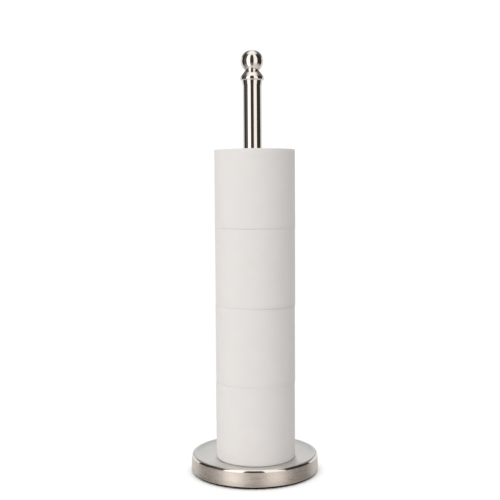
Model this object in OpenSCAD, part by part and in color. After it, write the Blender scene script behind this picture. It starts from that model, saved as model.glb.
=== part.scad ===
// Free-standing reserve stand for four tissue rolls: a weighted round base, a post of
// two screwed tubes, a ball finial, and the rolls that drop over the post.
// Millimetres, +Z up, origin on the floor at the centre of the base.

/* [Base] */
// Diameter of the base at its foot
base_d = 164.4; // [150:0.2:190]
// Height of the bead's crest above the floor
base_h = 24.2; // [23.6:0.1:28]
// Radius of the bead round the top edge
bead_r = 3.4; // [2.2:0.1:3.6]
// Depth of the top face below the bead's crest
recess = 3.8; // [2:0.1:4.2]
// Inward lean of the side wall, in degrees
side_draft = 2.9; // [0:0.1:5]
// Thickness of the pressed steel cover
sheet_t = 1; // [0.6:0.1:1.4]
// Gap between the cover's hem and the floor
hem_gap = 3; // [2:0.1:3.1]
// Thickness of the cast weight
weight_t = 8; // [6:0.1:8.2]

/* [Post] */
// Outside diameter of the tubes
tube_d = 24; // [22:0.5:26]
// Wall of the tubes
tube_wall = 1.2; // [0.8:0.1:2]
// Height of the butt joint between the two tubes
joint_z = 269; // [150:1:350]
// Height of the upper tube's top end
post_top = 495.9; // [470:0.1:560]
// Length of the plugs pressed into the tubes' ends
plug_len = 20; // [14:1:24]

/* [Finial] */
// Diameter of the ball
ball_d = 28.8; // [26:0.1:34]
// Diameter of the cap's rim
rim_d = 30.6; // [29:0.2:31]
// Diameter of the neck below the ball
neck_d = 18.4; // [16:0.2:20]

/* [Rolls] */
// Width of the paper, which is the height of a standing roll
roll_w = 98.4; // [92:0.1:104]
// Outside diameters of the rolls, from the bottom one up
roll_ds = [102, 102.2, 102.6, 102.9];
// How far each roll stands to the right of the post's axis, from the bottom one up
roll_shifts = [1.4, 1.8, 2.2, 2.3];
// How far all the rolls stand forward of the post's axis
roll_pull = 5.8; // [0:0.1:6]
// Bore of the cardboard core
core_bore = 44; // [43.8:0.1:46]
// Wall of the cardboard core
core_wall = 0.9; // [0.6:0.1:1.2]

/* [Hidden] */
$fn = 96;
eps = 0.01;
rolls = len(roll_ds);

// Clearance left between a threaded stem and its hole
thread_gap = 0.05;
bolt_d = 8;
stud_d = 10;
thread_pitch = 1.25;
thread_depth = 0.6 * thread_pitch;

// Cover: the face dishes up into the bead, and the side wall runs down to a hem
hem_r = 1;
cover_hole_r = 7.1;
face_z = base_h - recess;
dish_r = 60;
bead_c = [wall_r(base_h - bead_r) - bead_r / cos(side_draft), base_h - bead_r];
hem_c = [wall_r(hem_gap + hem_r) - hem_r / cos(side_draft), hem_gap + hem_r];
dish_rise = face_z + dish_r - bead_c[1];
dish_run = sqrt(pow(bead_r + dish_r, 2) - pow(dish_rise, 2));
dish_c = bead_c + [-dish_run, dish_rise];
dish_turn = atan2(dish_rise, dish_run);

// Plate and ring that close the base, set in from the cover's hem
foot_t = 3.2;
plate_t = 1.6;
plate_r = base_d / 2 - 3.2;
plate_hole_r = 15;
foot_r = plate_r - 0.4;
foot_width = 13;

// Weight, with four bosses that carry the plate
weight_r = base_d / 2 - 6.5;
weight_top = face_z - sheet_t;
weight_foot = weight_top - weight_t;
boss_r = 4.5;
boss_ring_r = 52;
bosses = 4;
screw_d = 3;
screw_len = 9;
screw_head_d = 6;

// Bolt that clamps the post to the base, with its two washers
washer_t = 1.6;
washer_d = 22;
spring_washer_t = 1.6;
spring_washer_d = 14;
bolt_head_d = 14;
bolt_head_h = 3.6;
bolt_head_z = weight_foot - washer_t - spring_washer_t;
bolt_len = 28;

// Tubes and plugs
tube_r = tube_d / 2;
tube_ir = tube_r - tube_wall;
plug_r = tube_ir - 0.02;
spigot_r = cover_hole_r - 0.1;
stud_len = 36;

// Finial
cap_spigot_h = 2;
cap_foot_r = tube_r + 0.35;
collar_r = 13.05;
collar_h = 5;
cove_r = 1;
rim_r = rim_d / 2;
rim_lip_r = 1.2;
rim_edge_h = 8.4;
flare_r = 4;
flare_angle = 37;
throat_r = 1.2;
neck_r = neck_d / 2;
neck_h = 18.8;
neck_top = post_top + neck_h;
ball_r = ball_d / 2;
ball_z = neck_top + sqrt(ball_r * ball_r - neck_r * neck_r);
finial_stud_foot = post_top - 17;
finial_stud_top = ball_z - 2;
ball_hole_top = ball_z - 1;

// Rolls
core_r = core_bore / 2;
paper_ir = core_r + core_wall;
edge_r = 0.9;

STAND_NODES = [
    "base_cover", "base_weight", "bottom_plate", "plate_screws", "foot_ring",
    "post_bolt", "spring_washer", "flat_washer", "foot_plug", "lower_tube",
    "lower_joint_plug", "joint_stud", "upper_joint_plug", "upper_tube",
    "top_plug", "finial_stud", "finial_cap", "finial_ball"
];
CORE_NODES = [for (i = [1 : rolls]) str("roll_core_", i)];
PAPER_NODES = [for (i = [1 : rolls]) str("roll_paper_", i)];

steel = [0.62, 0.60, 0.58];
nickel = [0.80, 0.79, 0.77];
iron = [0.25, 0.25, 0.26];
zinc = [0.70, 0.71, 0.72];
black = [0.10, 0.10, 0.10];
paper = [0.95, 0.95, 0.94];
card = [0.72, 0.60, 0.45];

// Outer radius of the side wall at a height
function wall_r(z) = base_d / 2 - (z - hem_gap) * tan(side_draft);

// Points of an arc round c, from one angle to another
function arc(c, r, from, to, steps = 10) = [
    for (i = [0 : steps])
        let (a = from + (to - from) * i / steps)
            c + r * [cos(a), sin(a)]
];

// Points down a threaded stem, crest and root in turn, with a plain pitch at both ends
function crests(d, foot, top) = [
    for (i = [0 : floor((top - foot) / thread_pitch) - 1])
        for (step = [0, 1])
            [d / 2 - thread_gap - step * thread_depth,
             top - (i + step / 2) * thread_pitch]
];

// A stem whose thread is drawn as rings
module threaded_stem(d, foot, top) {
    root_r = d / 2 - thread_gap - thread_depth;
    rotate_extrude()
        polygon(concat([[0, top]], crests(d, foot, top), [[root_r, foot], [0, foot]]));
}

module tube(r, ir, foot, top) {
    difference() {
        translate([0, 0, foot]) cylinder(r = r, h = top - foot);
        translate([0, 0, foot - 1]) cylinder(r = ir, h = top - foot + 2);
    }
}

// A turned plug with a threaded hole right through and two grip grooves
module plug(foot, hole_d) {
    groove = 0.5;
    difference() {
        tube(plug_r, hole_d / 2, foot, foot + plug_len);
        for (z = [0.3, 0.7])
            tube(plug_r + 1, plug_r - groove, foot + z * plug_len - 1, foot + z * plug_len + 1);
    }
}

module base_cover() {
    outer = concat(
        arc(hem_c, hem_r, -180, side_draft),
        arc(bead_c, bead_r, side_draft, 180 - dish_turn, 14),
        arc(dish_c, dish_r, -dish_turn, -90, 8)
    );
    inner = concat(
        [[cover_hole_r, face_z], [cover_hole_r, face_z - sheet_t]],
        arc(dish_c, dish_r + sheet_t, -90, -dish_turn, 8),
        arc(bead_c, bead_r - sheet_t, 180 - dish_turn, side_draft, 14)
    );
    hem_inside = [wall_r(hem_gap + 2 * hem_r) - sheet_t / cos(side_draft), hem_gap + 2.6 * hem_r];
    color(steel)
        rotate_extrude() polygon(concat(outer, inner, [hem_inside]));
}

module base_weight() {
    chamfer = 3;
    color(iron)
        difference() {
            union() {
                rotate_extrude()
                    polygon([
                        [0, weight_foot], [weight_r, weight_foot],
                        [weight_r, weight_top - chamfer], [weight_r - chamfer, weight_top],
                        [0, weight_top]
                    ]);
                at_bosses()
                    translate([0, 0, foot_t + plate_t])
                        cylinder(r = boss_r, h = weight_foot - foot_t - plate_t + eps);
            }
            translate([0, 0, weight_foot - 1]) cylinder(d = bolt_d + 1, h = weight_t + 2);
            at_bosses()
                translate([0, 0, foot_t])
                    cylinder(d = screw_d, h = screw_len + 1);
        }
}

module at_bosses() {
    for (i = [0 : bosses - 1])
        rotate([0, 0, 45 + i * 360 / bosses]) translate([boss_ring_r, 0, 0]) children();
}

module bottom_plate() {
    color(black)
        difference() {
            tube(plate_r, plate_hole_r, foot_t, foot_t + plate_t);
            at_bosses()
                translate([0, 0, foot_t - eps])
                    cylinder(d1 = screw_head_d + 0.1, d2 = screw_d + 0.1, h = plate_t + 2 * eps);
        }
}

module plate_screws() {
    slot_w = 0.8;
    slot_h = 0.7;
    color(zinc)
        at_bosses()
            difference() {
                union() {
                    translate([0, 0, foot_t])
                        cylinder(d1 = screw_head_d - 0.1, d2 = screw_d - 0.1, h = plate_t);
                    translate([0, 0, foot_t + plate_t - eps])
                        cylinder(d = screw_d - 2 * thread_gap, h = screw_len - plate_t);
                }
                for (turn = [0, 90])
                    rotate([0, 0, turn])
                        translate([-screw_head_d / 4, -slot_w / 2, foot_t - 1])
                            cube([screw_head_d / 2, slot_w, slot_h + 1]);
            }
}

module foot_ring() {
    color(black) tube(foot_r, foot_r - foot_width, 0, foot_t);
}

module post_bolt() {
    dome = 1.2;
    key_af = 5;
    key_depth = 2.6;
    head_r = bolt_head_d / 2;
    color(zinc)
        difference() {
            union() {
                rotate_extrude()
                    polygon([
                        [0, bolt_head_z], [head_r, bolt_head_z], [head_r, bolt_head_z - 1],
                        [head_r - dome, bolt_head_z - bolt_head_h + dome],
                        [head_r - 3 * dome, bolt_head_z - bolt_head_h],
                        [0, bolt_head_z - bolt_head_h]
                    ]);
                threaded_stem(bolt_d, bolt_head_z - eps, bolt_head_z + bolt_len);
            }
            translate([0, 0, bolt_head_z - bolt_head_h - eps])
                cylinder(d = key_af / cos(30), h = key_depth, $fn = 6);
        }
}

module spring_washer() {
    gap_angle = 12;
    inner_r = bolt_d / 2 + 0.3;
    color(zinc)
        translate([0, 0, bolt_head_z])
            rotate_extrude(angle = 360 - gap_angle)
                translate([inner_r, 0])
                    square([spring_washer_d / 2 - inner_r, spring_washer_t]);
}

module flat_washer() {
    color(zinc)
        tube(washer_d / 2, bolt_d / 2 + 0.3, weight_foot - washer_t, weight_foot);
}

module foot_plug() {
    color(zinc)
        union() {
            plug(face_z, bolt_d);
            tube(spigot_r, bolt_d / 2, weight_top, face_z + eps);
        }
}

module lower_tube() {
    color(nickel) tube(tube_r, tube_ir, face_z, joint_z);
}

module lower_joint_plug() {
    color(zinc) plug(joint_z - plug_len, stud_d);
}

module joint_stud() {
    color(zinc) threaded_stem(stud_d, joint_z - stud_len / 2, joint_z + stud_len / 2);
}

module upper_joint_plug() {
    color(zinc) plug(joint_z, stud_d);
}

module upper_tube() {
    color(nickel) tube(tube_r, tube_ir, joint_z, post_top);
}

module top_plug() {
    color(zinc) plug(post_top - cap_spigot_h - plug_len, bolt_d);
}

module finial_stud() {
    color(zinc) threaded_stem(bolt_d, finial_stud_foot, finial_stud_top);
}

module finial_cap() {
    lip_c = [rim_r - rim_lip_r, post_top + collar_h + cove_r + rim_lip_r];
    cove_c = [collar_r + cove_r, post_top + collar_h];
    flare_c = [rim_r - flare_r, post_top + rim_edge_h];
    line_run = rim_r - flare_r * (1 - cos(flare_angle)) - neck_r - throat_r * (1 - cos(flare_angle));
    throat_z = flare_c[1] + flare_r * sin(flare_angle)
        + line_run / tan(flare_angle) + throat_r * sin(flare_angle);
    throat_c = [neck_r + throat_r, throat_z];
    outline = concat(
        [[bolt_d / 2, post_top - cap_spigot_h], [plug_r, post_top - cap_spigot_h]],
        [[plug_r, post_top], [cap_foot_r, post_top]],
        arc(cove_c, cove_r, 180, 90, 6),
        arc(lip_c, rim_lip_r, -90, 0, 6),
        arc(flare_c, flare_r, 0, flare_angle, 8),
        arc(throat_c, throat_r, 180 + flare_angle, 180, 8),
        [[neck_r, neck_top], [bolt_d / 2, neck_top]]
    );
    color(nickel) rotate_extrude() polygon(outline);
}

module finial_ball() {
    color(nickel)
        difference() {
            translate([0, 0, ball_z]) sphere(r = ball_r);
            translate([0, 0, neck_top - ball_d]) cube([2 * ball_d, 2 * ball_d, 2 * ball_d], center = true);
            translate([0, 0, neck_top - 1]) cylinder(d = bolt_d, h = ball_hole_top + 1 - neck_top);
        }
}

function roll_z(i) = face_z + i * roll_w;

module roll_core(i) {
    color(card)
        translate([roll_shifts[i], -roll_pull, 0])
            tube(paper_ir, core_r, roll_z(i), roll_z(i) + roll_w);
}

module roll_paper(i) {
    r = roll_ds[i] / 2 - edge_r;
    low = roll_z(i) + edge_r;
    high = roll_z(i) + roll_w - edge_r;
    color(paper)
        translate([roll_shifts[i], -roll_pull, 0])
            rotate_extrude()
                polygon(concat(
                    [[paper_ir, roll_z(i)]],
                    arc([r, low], edge_r, -90, 0, 4),
                    arc([r, high], edge_r, 0, 90, 4),
                    [[paper_ir, roll_z(i) + roll_w]]
                ));
}

base_cover();
base_weight();
bottom_plate();
plate_screws();
foot_ring();
post_bolt();
spring_washer();
flat_washer();
foot_plug();
lower_tube();
lower_joint_plug();
joint_stud();
upper_joint_plug();
upper_tube();
top_plug();
finial_stud();
finial_cap();
finial_ball();
for (i = [0 : rolls - 1]) {
    roll_core(i);
    roll_paper(i);
}
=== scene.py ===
"""The looks of a free-standing reserve stand for toilet rolls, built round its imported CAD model.

Metres, +Z up, origin on the floor under the post. The camera looks along +Y.
"""

import math
import random

import bmesh
import bpy
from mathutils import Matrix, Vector


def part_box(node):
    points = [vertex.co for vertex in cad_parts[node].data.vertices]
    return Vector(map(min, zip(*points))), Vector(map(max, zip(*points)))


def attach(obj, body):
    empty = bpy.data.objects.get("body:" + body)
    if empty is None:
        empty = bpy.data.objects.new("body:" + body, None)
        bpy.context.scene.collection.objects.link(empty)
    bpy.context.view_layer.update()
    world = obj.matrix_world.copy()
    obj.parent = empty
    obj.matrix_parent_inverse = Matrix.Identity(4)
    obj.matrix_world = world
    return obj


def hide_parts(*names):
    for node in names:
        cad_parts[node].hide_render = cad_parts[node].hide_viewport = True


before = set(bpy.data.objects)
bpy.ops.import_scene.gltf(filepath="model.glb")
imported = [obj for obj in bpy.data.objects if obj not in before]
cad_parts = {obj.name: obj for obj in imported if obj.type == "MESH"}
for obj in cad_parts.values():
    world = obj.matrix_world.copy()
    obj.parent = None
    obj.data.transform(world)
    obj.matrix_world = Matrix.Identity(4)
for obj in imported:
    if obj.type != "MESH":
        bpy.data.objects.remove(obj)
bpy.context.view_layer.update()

MM = 0.001
TURN = 2 * math.pi
ROLL_NUMBERS = range(1, 5)


# ---------------------------------------------------------------- small helpers

def add(tree, kind, inputs=None, **settings):
    """Adds a shader node. An input's value is a number, a colour or another node's output."""
    made = tree.nodes.new("ShaderNode" + kind)
    for key, value in settings.items():
        setattr(made, key, value)
    for key, value in (inputs or {}).items():
        if isinstance(value, bpy.types.NodeSocket):
            tree.links.new(value, made.inputs[key])
        else:
            made.inputs[key].default_value = value
    return made


def maths(tree, operation, first, second=0.0):
    """The output of one Math node."""
    return add(tree, "Math", {0: first, 1: second}, operation=operation).outputs[0]


def spread(tree, value, from_low, from_high, to_low=0.0, to_high=1.0):
    """value carried smoothly from one range to another, clamped at both ends."""
    inputs = {
        "Value": value, "From Min": from_low, "From Max": from_high, "To Min": to_low, "To Max": to_high,
    }
    return add(tree, "MapRange", inputs, interpolation_type="SMOOTHSTEP").outputs["Result"]


def blend_colours(tree, factor, first, second):
    """The colour between two, by a factor."""
    made = add(tree, "Mix", {"Factor": factor, "A": first, "B": second}, data_type="RGBA")
    return made.outputs["Result"]


def multiply_colours(tree, first, second):
    """One colour multiplied by another."""
    inputs = {"Factor": 1.0, "A": first, "B": second}
    return add(tree, "Mix", inputs, data_type="RGBA", blend_type="MULTIPLY").outputs["Result"]


def noise(tree, where, scale, detail=3.0, roughness=0.55):
    """Noise of about the given scale, in features a metre."""
    inputs = {"Vector": where, "Scale": scale, "Detail": detail, "Roughness": roughness}
    return add(tree, "TexNoise", inputs).outputs["Fac"]


class Place:
    """Where a shading point is, in its object's own space: as a point and round the Z axis."""

    def __init__(self, tree):
        self.tree = tree
        self.point = add(tree, "TexCoord").outputs["Object"]
        parts = add(tree, "SeparateXYZ", {"Vector": self.point})
        x, y, self.z = parts.outputs[0], parts.outputs[1], parts.outputs[2]
        squares = maths(tree, "ADD", maths(tree, "MULTIPLY", x, x), maths(tree, "MULTIPLY", y, y))
        self.radius = maths(tree, "SQRT", squares)
        self.angle = maths(tree, "ARCTAN2", y, x)

    def stretched(self, x, y, z):
        """The point with each axis scaled, for grain that is longer one way."""
        made = add(self.tree, "VectorMath", {0: self.point, 1: (x, y, z)}, operation="MULTIPLY")
        return made.outputs["Vector"]

    def upward(self):
        """How far the surface faces up or down: 0 on a wall, 1 on a level face."""
        normal = add(self.tree, "NewGeometry").outputs["True Normal"]
        z = add(self.tree, "SeparateXYZ", {"Vector": normal}).outputs[2]
        return maths(self.tree, "ABSOLUTE", z)


def new_material(name, **values):
    """A material with one Principled shader, whose uniform values are set on its own sockets."""
    material = bpy.data.materials.new(name)
    material.use_nodes = True
    shader = material.node_tree.nodes["Principled BSDF"]
    for key, value in values.items():
        shader.inputs[key.replace("_", " ")].default_value = value
    return material, material.node_tree, shader


def bump(tree, shader, height, strength, distance, under=None):
    """Feeds a height to the shader's normal, over another bump if there is one."""
    inputs = {"Height": height, "Strength": strength, "Distance": distance}
    if under is not None:
        inputs["Normal"] = under
    made = add(tree, "Bump", inputs)
    tree.links.new(made.outputs["Normal"], shader.inputs["Normal"])
    return made.outputs["Normal"]


# ---------------------------------------------------------------- materials

UNCHANGED = (1, 1, 1, 1)  # a colour that leaves another as it is when they are multiplied


def tissue_material(seed):
    """Soft wound tissue: crepe down the outside, the edges of its layers on the ends, with painted shade
    between them.
    """
    material, tree, shader = new_material(
        f"tissue_{seed}", Roughness=0.92, IOR=1.35, Sheen_Weight=0.12, Sheen_Roughness=0.6,
        Subsurface_Weight=0.15, Subsurface_Scale=0.002, Specular_IOR_Level=0.25,
    )
    shader.inputs["Subsurface Radius"].default_value = (1.0, 0.9, 0.8)
    place = Place(tree)
    end = spread(tree, place.upward(), 0.6, 0.9)
    mottle = noise(tree, place.point, 38 + seed, 4.0, 0.6)
    fibres = noise(tree, place.stretched(1, 1, 0.35), 2600, 3.0, 0.7)
    crepe = noise(tree, place.stretched(1, 1, 0.06), 1500, 2.0, 0.6)
    across = maths(tree, "MULTIPLY", place.radius, 2600.0)
    rings = add(tree, "TexNoise", {"W": across, "Scale": 1.0, "Detail": 2.0}, noise_dimensions="1D")
    rings = rings.outputs["Fac"]
    duller, whiter = (0.790, 0.760, 0.743, 1), (0.805, 0.776, 0.759, 1)
    warmth = blend_colours(tree, spread(tree, mottle, 0.3, 0.7), duller, whiter)
    speck = blend_colours(tree, spread(tree, fibres, 0.25, 0.75), (0.97, 0.97, 0.97, 1), UNCHANGED)
    # Painted shade: on the ends, the colour is greyed in rings where the layers' relief is low, as if
    # shade fell between them.
    edges = maths(tree, "MULTIPLY", end, spread(tree, rings, 0.35, 0.6, 1.0, 0.0))
    layers = blend_colours(tree, edges, UNCHANGED, (0.86, 0.85, 0.835, 1))
    layered = multiply_colours(tree, multiply_colours(tree, warmth, speck), layers)
    tree.links.new(layered, shader.inputs["Base Color"])
    side = maths(tree, "SUBTRACT", 1.0, end)
    relief = maths(tree, "ADD", maths(tree, "MULTIPLY", crepe, side), maths(tree, "MULTIPLY", rings, end))
    under = bump(tree, shader, fibres, 0.25, 0.0002)
    bump(tree, shader, relief, 0.35, 0.0003, under)
    return material


def board_material():
    """Grey-brown core board, mottled and fibrous."""
    material, tree, shader = new_material("core_board", Roughness=0.85, Specular_IOR_Level=0.3)
    place = Place(tree)
    mottle = noise(tree, place.point, 160, 5.0, 0.65)
    fibres = noise(tree, place.stretched(1, 1, 3), 1400, 3.0, 0.7)
    tone = maths(tree, "ADD", maths(tree, "MULTIPLY", mottle, 0.6), maths(tree, "MULTIPLY", fibres, 0.4))
    dark, light = (0.34, 0.26, 0.19, 1), (0.50, 0.40, 0.30, 1)
    colour = blend_colours(tree, spread(tree, tone, 0.3, 0.7), dark, light)
    tree.links.new(colour, shader.inputs["Base Color"])
    bump(tree, shader, fibres, 0.4, 0.0003)
    return material


def polished_material():
    """Polished nickel plate with faint smudges and hairline polishing marks."""
    material, tree, shader = new_material("polished_nickel", Metallic=1.0)
    place = Place(tree)
    smudge = noise(tree, place.point, 55, 4.0, 0.6)
    hairline = noise(tree, place.stretched(1, 1, 14), 900, 2.0, 0.5)
    smudged = spread(tree, smudge, 0.35, 0.75, 0.035, 0.10)
    rough = maths(tree, "ADD", smudged, maths(tree, "MULTIPLY", hairline, 0.02))
    tree.links.new(rough, shader.inputs["Roughness"])
    clean, smudgy = (0.83, 0.80, 0.77, 1), (0.80, 0.765, 0.73, 1)
    colour = blend_colours(tree, spread(tree, smudge, 0.3, 0.8), clean, smudgy)
    tree.links.new(colour, shader.inputs["Base Color"])
    bump(tree, shader, hairline, 0.03, 0.00003)
    return material


def brushed_material():
    """Nickel brushed round the side wall: fine level lines, a long soft glint, and painted shade that
    darkens the colour towards the foot.
    """
    material, tree, shader = new_material("brushed_nickel_side", Metallic=0.75, Anisotropic=0.75)
    place = Place(tree)
    tangent = add(tree, "Tangent", direction_type="RADIAL", axis="Z").outputs["Tangent"]
    tree.links.new(tangent, shader.inputs["Tangent"])
    line_place = add(tree, "CombineXYZ", {
        "X": maths(tree, "MULTIPLY", place.angle, 1.6),
        "Y": maths(tree, "MULTIPLY", place.radius, 2600.0),
        "Z": maths(tree, "MULTIPLY", place.z, 2600.0),
    }).outputs[0]
    lines = noise(tree, line_place, 1.0, 4.0, 0.65)
    broad = noise(tree, place.stretched(1, 1, 8), 60, 3.0, 0.6)
    line_rough = spread(tree, lines, 0.3, 0.7, 0.24, 0.36)
    rough = maths(tree, "ADD", line_rough, spread(tree, broad, 0.3, 0.7, -0.02, 0.03))
    tree.links.new(rough, shader.inputs["Roughness"])
    groove, crest = (0.71, 0.635, 0.574, 1), (0.81, 0.737, 0.678, 1)
    colour = blend_colours(tree, spread(tree, lines, 0.3, 0.72), groove, crest)
    # Painted shade: the colour darkens in the lowest few millimetres of the wall, where shade falls near
    # the floor.
    uneven_z = maths(tree, "ADD", place.z, maths(tree, "MULTIPLY", broad, 0.002))
    above_painted_foot_shade = spread(tree, uneven_z, 0.0045, 0.0125)
    painted_foot_shade = blend_colours(tree, above_painted_foot_shade, (0.80, 0.785, 0.77, 1), UNCHANGED)
    tree.links.new(multiply_colours(tree, colour, painted_foot_shade), shader.inputs["Base Color"])
    bump(tree, shader, lines, 0.18, 0.0001)
    return material


def satin_material():
    """The cover's top face: satin nickel with very fine rings."""
    material, tree, shader = new_material("satin_nickel_top", Metallic=1.0)
    place = Place(tree)
    ring_place = add(tree, "CombineXYZ", {
        "X": maths(tree, "MULTIPLY", place.angle, 2.0),
        "Y": maths(tree, "MULTIPLY", place.radius, 2200.0),
    }).outputs[0]
    rings = noise(tree, ring_place, 1.0, 3.0, 0.6)
    cloud = noise(tree, place.point, 30, 3.0, 0.5)
    ring_rough = spread(tree, rings, 0.3, 0.7, 0.36, 0.44)
    rough = maths(tree, "ADD", ring_rough, spread(tree, cloud, 0.3, 0.7, -0.02, 0.03))
    tree.links.new(rough, shader.inputs["Roughness"])
    groove, crest = (0.755, 0.735, 0.716, 1), (0.805, 0.787, 0.768, 1)
    colour = blend_colours(tree, spread(tree, rings, 0.3, 0.7), groove, crest)
    tree.links.new(colour, shader.inputs["Base Color"])
    bump(tree, shader, rings, 0.08, 0.00008)
    return material


def zinc_material():
    """Zinc plating: bluish grey and cloudy."""
    material, tree, shader = new_material("zinc_plate", Metallic=1.0)
    place = Place(tree)
    cloud = noise(tree, place.point, 420, 5.0, 0.65)
    tree.links.new(spread(tree, cloud, 0.3, 0.75, 0.28, 0.5), shader.inputs["Roughness"])
    bright, dull = (0.62, 0.63, 0.64, 1), (0.48, 0.49, 0.50, 1)
    colour = blend_colours(tree, spread(tree, cloud, 0.3, 0.75), bright, dull)
    tree.links.new(colour, shader.inputs["Base Color"])
    bump(tree, shader, cloud, 0.15, 0.0001)
    return material


def powder_coat_material():
    """Matt black powder coat with its fine orange peel and a few scuffs."""
    material, tree, shader = new_material("black_powder_coat", Specular_IOR_Level=0.4)
    place = Place(tree)
    peel = noise(tree, place.point, 1500, 2.0, 0.5)
    scuff = noise(tree, place.stretched(1, 2, 1), 70, 5.0, 0.7)
    tree.links.new(spread(tree, scuff, 0.4, 0.75, 0.62, 0.42), shader.inputs["Roughness"])
    coat, scuffed = (0.018, 0.018, 0.019, 1), (0.05, 0.05, 0.05, 1)
    colour = blend_colours(tree, spread(tree, scuff, 0.5, 0.8), coat, scuffed)
    tree.links.new(colour, shader.inputs["Base Color"])
    bump(tree, shader, peel, 0.3, 0.0002)
    return material


def foam_material():
    """Black closed-cell foam, with its cells as fine pits."""
    material, tree, shader = new_material("black_foam", Specular_IOR_Level=0.25)
    place = Place(tree)
    cells = add(tree, "TexVoronoi", {"Vector": place.point, "Scale": 1700.0}).outputs["Distance"]
    dust = noise(tree, place.point, 90, 4.0, 0.6)
    tree.links.new(spread(tree, dust, 0.3, 0.7, 0.8, 0.95), shader.inputs["Roughness"])
    clean, dusty = (0.016, 0.016, 0.016, 1), (0.045, 0.044, 0.042, 1)
    colour = blend_colours(tree, spread(tree, dust, 0.45, 0.8), clean, dusty)
    tree.links.new(colour, shader.inputs["Base Color"])
    bump(tree, shader, cells, 0.5, 0.0003)
    return material


def iron_material():
    """Rough grey cast iron."""
    material, tree, shader = new_material("cast_iron", Metallic=0.6)
    place = Place(tree)
    grain = noise(tree, place.point, 500, 6.0, 0.7)
    tree.links.new(spread(tree, grain, 0.3, 0.7, 0.55, 0.8), shader.inputs["Roughness"])
    pit, peak = (0.07, 0.07, 0.075, 1), (0.17, 0.165, 0.16, 1)
    colour = blend_colours(tree, spread(tree, grain, 0.3, 0.7), pit, peak)
    tree.links.new(colour, shader.inputs["Base Color"])
    bump(tree, shader, grain, 0.6, 0.0006)
    return material


# ---------------------------------------------------------------- mesh making

SHARP_ABOVE = math.radians(40)  # a crease that turns further than this stays sharp
WELD_WITHIN = 0.002 * MM
EMPTY_BELOW = 0.001 * MM


def half_width(node):
    """The radius of a turned CAD node, from its box."""
    low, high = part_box(node)
    return (high.x - low.x) / 2


def new_piece(name, verts, faces, material, centre=(0, 0, 0)):
    """A smooth-shaded mesh object whose sharp creases stay sharp."""
    mesh = bpy.data.meshes.new(name)
    mesh.from_pydata(verts, [], faces)
    mesh.update()
    mesh.polygons.foreach_set("use_smooth", [True] * len(mesh.polygons))
    mesh.set_sharp_from_angle(angle=SHARP_ABOVE)
    mesh.materials.append(material)
    piece = bpy.data.objects.new(name, mesh)
    piece.location = centre
    bpy.context.scene.collection.objects.link(piece)
    return piece


def arc(centre, radius, start, end, steps):
    """Points (r, z) of an arc between two angles in degrees."""
    turns = [math.radians(start + (end - start) * i / steps) for i in range(steps + 1)]
    return [(centre[0] + radius * math.cos(t), centre[1] + radius * math.sin(t)) for t in turns]


def weld(piece):
    """Merges the points that lie on each other and drops the faces that this leaves empty."""
    shape = bmesh.new()
    shape.from_mesh(piece.data)
    bmesh.ops.remove_doubles(shape, verts=shape.verts, dist=WELD_WITHIN)
    bmesh.ops.dissolve_degenerate(shape, edges=shape.edges, dist=EMPTY_BELOW)
    bmesh.ops.recalc_face_normals(shape, faces=shape.faces)
    shape.to_mesh(piece.data)
    shape.free()


def wound_piece(name, columns, material, centre):
    """Joins slices round a circle into one closed skin. The first and last slices meet in a step."""
    rows = len(columns[0])
    verts = [v for column in columns for v in column]
    faces = []
    for i in range(len(columns) - 1):
        for k in range(rows):
            after = (k + 1) % rows
            faces.append((i * rows + k, i * rows + after, (i + 1) * rows + after, (i + 1) * rows + k))
    last = (len(columns) - 1) * rows
    for k in range(rows):
        after = (k + 1) % rows
        faces.append((last + k, last + after, after, k))
    piece = new_piece(name, verts, faces, material, centre)
    weld(piece)
    return piece


def lathe(name, runs, materials, columns):
    """Spins a closed outline made of runs round Z. Each run has its own material."""
    outline = [p for run in runs for p in run]
    finish = [i for i, run in enumerate(runs) for _ in run]
    rows = len(outline)
    verts = []
    for i in range(columns):
        angle = TURN * i / columns
        verts += [(r * math.cos(angle), r * math.sin(angle), z) for r, z in outline]
    faces, slots = [], []
    for i in range(columns):
        after = (i + 1) % columns
        for k in range(rows):
            below = (k + 1) % rows
            faces.append((i * rows + k, i * rows + below, after * rows + below, after * rows + k))
            slots.append(finish[k])
    piece = new_piece(name, verts, faces, materials[0])
    for material in materials[1:]:
        piece.data.materials.append(material)
    piece.data.polygons.foreach_set("material_index", slots)
    return piece


# ---------------------------------------------------------------- tissue rolls

LAP = 0.25 * MM  # the outer sheet's step at its loose edge
TOP_ROUND = 0.1 * MM
FOOT_ROUNDS = [1.4 * MM, 0.1 * MM, 0.1 * MM, 0.1 * MM]  # the bottom roll's foot edge is the softest
RIPPLE = 0.22 * MM  # how far the side waves in and out
RISE = 0.03 * MM  # how far the top waves up and down
INNER_DEPTH = 0.2 * MM  # how far the innermost layer lies below the ends
SHALLOW, DEEP = 0.12, 0.4  # the same for every second layer, in millimetres
RIPPLE_FROM = 0.9  # the share of the paper's thickness that isn't rippled
LAYER_ROWS = 44
SIDE_ROWS = 22
COLUMNS = 288


def wobble(seed, low, high, amount):
    """A smooth closed ripple round a circle, made of whole waves from low to high."""
    draw = random.Random(seed)
    waves = [(k, draw.uniform(0, TURN), draw.uniform(0.5, 1.0) / k ** 0.5) for k in range(low, high + 1)]
    total = sum(a for _, _, a in waves)
    return lambda angle: amount * sum(a * math.cos(k * angle + p) for k, p, a in waves) / total


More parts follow.
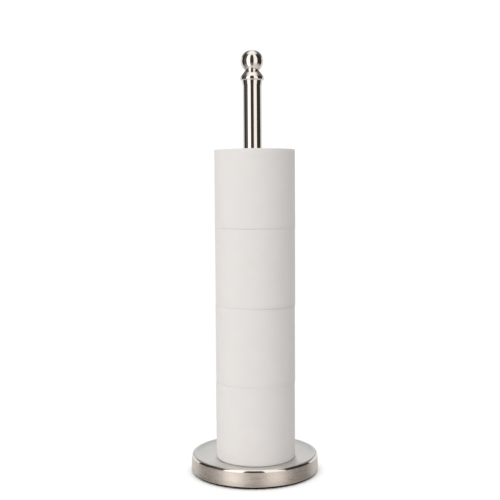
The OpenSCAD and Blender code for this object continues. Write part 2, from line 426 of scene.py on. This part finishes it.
def roll_section(inner, outer, height, depths, lap, sway, lift, foot_round):
    """One radial slice through the paper: up the core, out over the top, down the side, back in."""
    step = (outer - TOP_ROUND - inner) / LAYER_ROWS
    foot_step = (outer - foot_round - inner) / LAYER_ROWS
    past = [max(0.0, k / LAYER_ROWS - RIPPLE_FROM) for k in range(LAYER_ROWS + 1)]
    shift = [part / (1 - RIPPLE_FROM) * (sway - lap) for part in past]
    high = height - lift
    edge = outer + sway - lap
    top = [(inner + k * step + shift[k], high - depths[k]) for k in range(LAYER_ROWS + 1)]
    side_top = arc((edge - TOP_ROUND, high - TOP_ROUND), TOP_ROUND, 80, 0, 5)
    low = high - TOP_ROUND
    side = [(edge, low - (low - foot_round) * i / SIDE_ROWS) for i in range(1, SIDE_ROWS)]
    side_bottom = arc((edge - foot_round, foot_round), foot_round, 0, -80, 6)
    bottom = [(inner + k * foot_step + shift[k], depths[k]) for k in range(LAYER_ROWS, -1, -1)]
    return top + side_top + side + side_bottom + bottom


def tissue_roll(number, material):
    """The wound paper of one roll, with its layers' edges, soft corners and loose outer edge."""
    low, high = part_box(f"roll_paper_{number}")
    centre = (low + high) / 2
    inner = half_width(f"roll_core_{number}")
    outer = half_width(f"roll_paper_{number}")
    height = high.z - low.z
    draw = random.Random(40 + number)
    depths = [0.0 if k % 2 else draw.uniform(SHALLOW, DEEP) * MM for k in range(LAYER_ROWS + 1)]
    depths[0] = INNER_DEPTH
    ripple = wobble(number, 2, 14, RIPPLE)
    rise = wobble(10 + number, 1, 5, RISE)
    tail = math.radians(40 + 25 * number)  # the loose edge: at the back, elsewhere on each roll
    columns = []
    for i in range(COLUMNS + 1):
        turned = TURN * i / COLUMNS
        angle = tail + turned
        lap = LAP * (1 - i / COLUMNS)
        sway = ripple(angle) - RIPPLE
        lift = RISE + rise(angle)
        section = roll_section(inner, outer, height, depths, lap, sway, lift, FOOT_ROUNDS[number - 1])
        columns.append([(r * math.cos(angle), r * math.sin(angle), z) for r, z in section])
    return wound_piece(f"tissue_roll_{number}", columns, material, (centre.x, centre.y, low.z))


CORE_COLUMNS = 120
CORE_ROWS = 24
CORE_WALL = 0.9 * MM
CORE_LAP = 0.25 * MM
CORE_TWIST = 1.15 * TURN
CORE_INSET = 0.5 * MM  # how far the core's ends stay inside the paper's
CORE_SLACK = 0.02 * MM
FRAY = 0.15 * MM


def core_tube(number, material):
    """A spiral-wound core: its board laps over itself along a helix."""
    low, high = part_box(f"roll_core_{number}")
    centre = (low + high) / 2
    outer = half_width(f"roll_core_{number}")
    height = high.z - low.z
    fray = wobble(20 + number, 3, 17, FRAY)
    columns = []
    for i in range(CORE_COLUMNS + 1):
        turned = TURN * i / CORE_COLUMNS
        lap = CORE_LAP * i / CORE_COLUMNS
        points = [(outer - CORE_WALL + lap, k / CORE_ROWS) for k in range(CORE_ROWS + 1)]
        points += [(outer - CORE_SLACK, k / CORE_ROWS) for k in range(CORE_ROWS, -1, -1)]
        column = []
        for r, share in points:
            angle = turned + CORE_TWIST * share
            z = CORE_INSET + (height - 2 * CORE_INSET) * share
            if share in (0.0, 1.0):
                z += fray(angle)
            column.append((r * math.cos(angle), r * math.sin(angle), z))
        columns.append(column)
    return wound_piece(f"core_tube_{number}", columns, material, (centre.x, centre.y, low.z))


# ---------------------------------------------------------------- base cover

BEAD_R = 3.4 * MM  # the rounded edge
DISH_R = 60.0 * MM  # the arc that joins the top face to the bead
HEM_R = 1.0 * MM
SHEET = 1.0 * MM
RECESS = 3.8 * MM  # the top face lies this far below the bead's crest
SPIGOT_STEP = 4.9 * MM  # the middle hole is smaller than the post by this, in radius
DRAFT = 2.9  # the wall's lean, in degrees
POLISH_TOP = 58  # the polish on the bead starts at this slope, in degrees, and ends at the wall
COVER_COLUMNS = 256


def cover_outline():
    """The pressed cover's section in runs, one for each finish: top face, bead, wall, underside."""
    low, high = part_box("base_cover")
    face_z = high.z - RECESS
    tangent = math.tan(math.radians(DRAFT))
    cosine = math.cos(math.radians(DRAFT))
    foot_r = high.x + HEM_R / cosine - HEM_R + HEM_R * tangent

    def wall_r(z):
        return foot_r - (z - low.z) * tangent

    bead = (wall_r(high.z - BEAD_R) - BEAD_R / cosine, high.z - BEAD_R)
    hem = (wall_r(low.z + HEM_R) - HEM_R / cosine, low.z + HEM_R)
    rise = face_z + DISH_R - bead[1]
    run = math.sqrt((BEAD_R + DISH_R) ** 2 - rise ** 2)
    dish = (bead[0] - run, face_z + DISH_R)
    turn = math.degrees(math.atan2(rise, run))
    hole = half_width("lower_tube") - SPIGOT_STEP
    face = [(hole + (dish[0] - hole) * i / 8, face_z) for i in range(8)]
    face += arc(dish, DISH_R, -90, -turn, 10)
    face += arc(bead, BEAD_R, 180 - turn, POLISH_TOP, 12)[1:]
    rim = arc(bead, BEAD_R, POLISH_TOP, DRAFT + 2, 18)[1:]
    top, foot = arc(bead, BEAD_R, DRAFT, DRAFT, 1)[0], arc(hem, HEM_R, DRAFT, DRAFT, 1)[0]
    wall = [(top[0] + (foot[0] - top[0]) * i / 8, top[1] + (foot[1] - top[1]) * i / 8) for i in range(9)]
    under = arc(hem, HEM_R, DRAFT - 12, -180, 12)
    under.append((wall_r(low.z + 2 * HEM_R) - SHEET / cosine, low.z + 2.6 * HEM_R))
    under += arc(bead, BEAD_R - SHEET, DRAFT, 180 - turn, 8)
    under += arc(dish, DISH_R + SHEET, -turn, -90, 6)
    under.append((hole, face_z - SHEET))
    return [face, rim, wall, under]


# ---------------------------------------------------------------- post and finial

TURNED_COLUMNS = 160
TUBE_WALL = 1.2 * MM
TUBE_ROWS = 10
BROKEN_EDGE = 0.15 * MM
PLUG_SLACK = 0.02 * MM
STUD_HOLE = 4.0 * MM
STUD_SHORT = 1.0 * MM  # the ball's blind hole ends this far below its centre
COLLAR_R = 13.05 * MM
COLLAR_H = 5.0 * MM
CAP_OVERHANG = 0.35 * MM
COVE_R = 1.0 * MM
LIP_R = 1.2 * MM
RIM_EDGE_H = 8.4 * MM
FLARE_R = 4.0 * MM
FLARE_ANGLE = 37
THROAT_R = 1.2 * MM
NECK_R = 9.2 * MM


def tube_outline(node):
    """A tube with its ends' edges broken, so that a butt joint shows as a fine line."""
    low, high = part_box(node)
    outer = half_width(node)
    inner, edge = outer - TUBE_WALL, outer - BROKEN_EDGE
    length = high.z - low.z - 2 * BROKEN_EDGE
    wall = [(outer, low.z + BROKEN_EDGE + length * i / TUBE_ROWS) for i in range(TUBE_ROWS + 1)]
    return [[(inner, low.z), (edge, low.z)] + wall + [(edge, high.z), (inner, high.z)]]


def cap_outline():
    """The finial's cap: a collar over the tube's end, a rim, and a flare that narrows to the neck."""
    low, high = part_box("finial_cap")
    post_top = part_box("upper_tube")[1].z
    rim_r = half_width("finial_cap")
    plug_r = half_width("upper_tube") - TUBE_WALL - PLUG_SLACK
    foot_r = half_width("upper_tube") + CAP_OVERHANG
    lean = math.radians(FLARE_ANGLE)
    flare = (rim_r - FLARE_R, post_top + RIM_EDGE_H)
    run = rim_r - FLARE_R * (1 - math.cos(lean)) - NECK_R - THROAT_R * (1 - math.cos(lean))
    throat_z = flare[1] + FLARE_R * math.sin(lean) + run / math.tan(lean) + THROAT_R * math.sin(lean)
    points = [(STUD_HOLE, low.z), (plug_r, low.z), (plug_r, post_top), (foot_r, post_top)]
    points += arc((COLLAR_R + COVE_R, post_top + COLLAR_H), COVE_R, 180, 90, 8)
    points += arc((rim_r - LIP_R, post_top + COLLAR_H + COVE_R + LIP_R), LIP_R, -90, 0, 10)
    points += arc(flare, FLARE_R, 0, FLARE_ANGLE, 12)
    points += arc((NECK_R + THROAT_R, throat_z), THROAT_R, 180 + FLARE_ANGLE, 180, 10)
    return [points + [(NECK_R, high.z), (STUD_HOLE, high.z)]]


def ball_outline():
    """The finial's ball, flat where it stands on the neck, with the stud's blind hole."""
    low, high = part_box("finial_ball")
    radius = half_width("finial_ball")
    centre_z = high.z - radius
    start = math.degrees(math.asin((low.z - centre_z) / radius))
    hole_top = centre_z - STUD_SHORT
    skin = arc((0, centre_z), radius, start, 89.5, 64)
    return [[(STUD_HOLE, low.z)] + skin + [(0, high.z), (0, hole_top), (STUD_HOLE, hole_top)]]


# ---------------------------------------------------------------- building

polished = polished_material()
zinc = zinc_material()
NODE_MATERIALS = {
    "bottom_plate": powder_coat_material(),
    "foot_ring": foam_material(),
    "base_weight": iron_material(),
    "plate_screws": zinc,
    "post_bolt": zinc,
    "spring_washer": zinc,
    "flat_washer": zinc,
    "foot_plug": zinc,
    "lower_joint_plug": zinc,
    "joint_stud": zinc,
    "upper_joint_plug": zinc,
    "top_plug": zinc,
    "finial_stud": zinc,
}


def dress_cad_nodes():
    """Gives each carried-over CAD node its material."""
    for node, material in NODE_MATERIALS.items():
        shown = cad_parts[node]
        for slot in shown.material_slots:
            slot.material = material


def build_post():
    """The turned, polished pieces, finely rounded so that their reflections run true."""
    turned = {
        "upper_tube": tube_outline("upper_tube"),
        "lower_tube": tube_outline("lower_tube"),
        "finial_cap": cap_outline(),
        "finial_ball": ball_outline(),
    }
    for node, outline in turned.items():
        piece = lathe(f"polished_{node}", outline, [polished], TURNED_COLUMNS)
        weld(piece)
        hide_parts(node)
        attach(piece, "stand")


def build_cover():
    """The cover in three finishes, in place of its CAD node."""
    runs = cover_outline()
    satin, brushed = satin_material(), brushed_material()
    cover = lathe("base_cover_pressing", runs, [satin, polished, brushed, brushed], COVER_COLUMNS)
    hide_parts("base_cover")
    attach(cover, "stand")


def build_rolls():
    """The four rolls, each riding on its own body."""
    board = board_material()
    for number in ROLL_NUMBERS:
        paper = tissue_roll(number, tissue_material(number))
        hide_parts(f"roll_paper_{number}")
        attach(paper, f"roll_{number}")
        core = core_tube(number, board)
        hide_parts(f"roll_core_{number}")
        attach(core, f"roll_{number}")


# ---------------------------------------------------------------- stage, light and camera

WHITE = (1, 1, 1, 1)
AMBIENT = 0.50
OVERHEAD = (1.15, 1.13, 1.10, 1)
NADIR = (0.78, 0.75, 0.73, 1)
WHITE_WALL = (0.85, 0.85, 0.84, 1)
WHITE_TABLE = (0.75, 0.74, 0.73, 1)
HIGH_FLAG = (0.17, 0.16, 0.15, 1)
LEFT_FLAG = (0.035, 0.030, 0.027, 1)
LEFT_SCREEN = (0.11, 0.095, 0.085, 1)
LEFT_BOX = (1.40, 1.37, 1.33, 1)
CAMERA_GAP = (0.055, 0.046, 0.040, 1)
RIGHT_BOX = (1.15, 1.09, 1.04, 1)
RIGHT_FLAG = (0.040, 0.033, 0.028, 1)

# Each stretch of the studio round the stand: where it ends, in degrees from the camera with + to
# its right, then its colour at the height of the walls, at the table, and above the walls.
WALLS, TABLE, ABOVE = 1, 2, 3
STUDIO = [
    (-165, WHITE_WALL, WHITE_TABLE, WHITE_WALL),
    (-150, WHITE_WALL, WHITE_TABLE, HIGH_FLAG),
    (-118, WHITE_WALL, (0.38, 0.37, 0.36, 1), HIGH_FLAG),
    (-90, LEFT_FLAG, (0.32, 0.285, 0.26, 1), LEFT_FLAG),
    (-57, LEFT_SCREEN, (0.36, 0.33, 0.31, 1), LEFT_SCREEN),
    (-20, LEFT_BOX, (1.80, 1.71, 1.62, 1), LEFT_BOX),
    (17, CAMERA_GAP, (0.25, 0.22, 0.20, 1), CAMERA_GAP),
    (55, RIGHT_BOX, (0.78, 0.72, 0.67, 1), RIGHT_BOX),
    (115, RIGHT_FLAG, (0.66, 0.59, 0.54, 1), RIGHT_FLAG),
    (150, WHITE_WALL, (0.48, 0.44, 0.42, 1), HIGH_FLAG),
    (165, WHITE_WALL, WHITE_TABLE, HIGH_FLAG),
    (180, WHITE_WALL, WHITE_TABLE, WHITE_WALL),
]
SOFT_EDGE = 3.0  # how wide the change from one stretch to the next is, in degrees

# Where one height of the studio gives way to the next, from and to, in degrees above level.
TABLE_TO_WALLS = (-38, -13)
TABLE_TO_NADIR = (-40, -66)
WALLS_TO_ABOVE = (18, 25)
ABOVE_TO_OVERHEAD = (50, 78)


def band_ramp(tree, place, which):
    """The studio's colour round the stand at one height: WALLS, TABLE or ABOVE."""
    ramp = add(tree, "ValToRGB", {"Fac": place})
    start = -180.0
    points = []
    for stretch in STUDIO:
        points += [(start + SOFT_EDGE / 2, stretch[which]), (stretch[0] - SOFT_EDGE / 2, stretch[which])]
        start = stretch[0]
    first, last = ramp.color_ramp.elements
    first.position, first.color = 0.0, points[0][1]
    last.position, last.color = 1.0, points[-1][1]
    for degrees, colour in points[1:-1]:
        ramp.color_ramp.elements.new(degrees / 360 + 0.5).color = colour
    return ramp.outputs["Color"]


def passed(tree, z, change):
    """How far a direction of height z has passed from one angle above level to another."""
    first, last = change
    return spread(tree, z, math.sin(math.radians(first)), math.sin(math.radians(last)))


def studio_world():
    """A white studio. Gloss sees softboxes to both sides of the camera, with dark gaps between."""
    world = bpy.data.worlds.new("studio")
    bpy.context.scene.world = world
    world.use_nodes = True
    tree = world.node_tree
    tree.nodes.clear()
    direction = add(tree, "TexCoord").outputs["Generated"]
    x, y, z = add(tree, "SeparateXYZ", {"Vector": direction}).outputs
    bearing = maths(tree, "ARCTAN2", x, maths(tree, "MULTIPLY", y, -1.0))
    place = maths(tree, "ADD", maths(tree, "DIVIDE", bearing, TURN), 0.5)
    table, walls = band_ramp(tree, place, TABLE), band_ramp(tree, place, WALLS)
    sides = blend_colours(tree, passed(tree, z, TABLE_TO_WALLS), table, walls)
    sides = blend_colours(tree, passed(tree, z, TABLE_TO_NADIR), sides, NADIR)
    sides = blend_colours(tree, passed(tree, z, WALLS_TO_ABOVE), sides, band_ramp(tree, place, ABOVE))
    seen = blend_colours(tree, passed(tree, z, ABOVE_TO_OVERHEAD), sides, OVERHEAD)
    path = add(tree, "LightPath")
    gloss = add(tree, "Background", {"Color": seen, "Strength": 1.0})
    even = add(tree, "Background", {"Color": (1.0, 0.995, 0.985, 1), "Strength": AMBIENT})
    white = add(tree, "Background", {"Color": WHITE, "Strength": 1.05})
    is_gloss, is_camera = path.outputs["Is Glossy Ray"], path.outputs["Is Camera Ray"]
    lit = add(tree, "MixShader", {0: is_gloss, 1: even.outputs[0], 2: gloss.outputs[0]})
    shown = add(tree, "MixShader", {0: is_camera, 1: lit.outputs[0], 2: white.outputs[0]})
    out = add(tree, "OutputWorld")
    tree.links.new(shown.outputs[0], out.inputs["Surface"])


def wide_light(name, bearing, elevation, strength, width, colour=(1, 1, 1)):
    """Soft light from one direction, even over the whole stand. Bearing 0 is the camera's side."""
    data = bpy.data.lights.new(name, "SUN")
    data.angle = math.radians(width)
    data.energy = strength
    data.color = colour
    light = bpy.data.objects.new(name, data)
    a, e = math.radians(bearing), math.radians(elevation)
    away = Vector((math.sin(a) * math.cos(e), -math.cos(a) * math.cos(e), math.sin(e)))
    light.location = away * 2
    light.rotation_euler = away.to_track_quat("Z", "Y").to_euler()
    light.visible_glossy = False
    bpy.context.scene.collection.objects.link(light)


FLOOR_HALF = 12.0
SHADOW_FROM = -0.004  # from here to there, past the base's edge, the floor turns to plain white
SHADOW_TO = 0.014
SHADOW_FORWARD = 0.004  # the shaded patch's middle is this far towards the camera


def floor():
    """A wide floor, seen from above only. It takes the stand's shade close by, and is white beyond."""
    corners = [(x * FLOOR_HALF, y * FLOOR_HALF, 0) for x, y in ((-1, -1), (1, -1), (1, 1), (-1, 1))]
    mesh = bpy.data.meshes.new("floor")
    mesh.from_pydata(corners, [], [(0, 1, 2, 3)])
    material = bpy.data.materials.new("floor_white")
    material.use_nodes = True
    tree = material.node_tree
    tree.nodes.clear()
    white = add(tree, "BsdfDiffuse", {"Color": (0.9, 0.9, 0.895, 1)})
    clear = add(tree, "BsdfTransparent")
    glow = add(tree, "Emission", {"Color": WHITE, "Strength": 1.02})
    point = add(tree, "TexCoord").outputs["Object"]
    spot = add(tree, "VectorMath", {0: point, 1: (0, SHADOW_FORWARD, 0)}, operation="ADD")
    distance = add(tree, "VectorMath", {0: spot.outputs[0]}, operation="LENGTH").outputs["Value"]
    base_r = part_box("base_cover")[1].x
    far = spread(tree, distance, base_r + SHADOW_FROM, base_r + SHADOW_TO)
    sweep = add(tree, "MixShader", {0: far, 1: white.outputs[0], 2: glow.outputs[0]})
    behind = add(tree, "NewGeometry").outputs["Backfacing"]
    mixed = add(tree, "MixShader", {0: behind, 1: sweep.outputs[0], 2: clear.outputs[0]})
    out = add(tree, "OutputMaterial")
    tree.links.new(mixed.outputs[0], out.inputs["Surface"])
    mesh.materials.append(material)
    ground = bpy.data.objects.new("floor", mesh)
    ground.visible_glossy = False
    ground.visible_diffuse = False
    bpy.context.scene.collection.objects.link(ground)


LENS = 64.8
CAMERA_PLACE = (-0.0037, -1.1519, 0.3639)
CAMERA_DOWN = 3.84  # degrees below level
CAMERA_ROLL = 0.42  # degrees round its own axis


def camera():
    """A long lens a little above the stand's middle, looking slightly down."""
    data = bpy.data.cameras.new("camera")
    data.lens = LENS
    data.sensor_width = 36
    data.clip_end = 100
    seen_from = bpy.data.objects.new("camera", data)
    seen_from.location = CAMERA_PLACE
    seen_from.rotation_euler = (math.radians(90 - CAMERA_DOWN), math.radians(CAMERA_ROLL), 0)
    bpy.context.scene.collection.objects.link(seen_from)
    bpy.context.scene.camera = seen_from


def main():
    """Sets the stage, then dresses and builds every piece."""
    camera()
    floor()
    studio_world()
    wide_light("key", bearing=-35, elevation=15, strength=1.29, width=40, colour=(1.0, 0.985, 0.965))
    wide_light("top", bearing=0, elevation=88, strength=2.1, width=100)
    dress_cad_nodes()
    build_post()
    build_cover()
    build_rolls()
    bpy.context.scene.view_settings.view_transform = "Standard"


main()
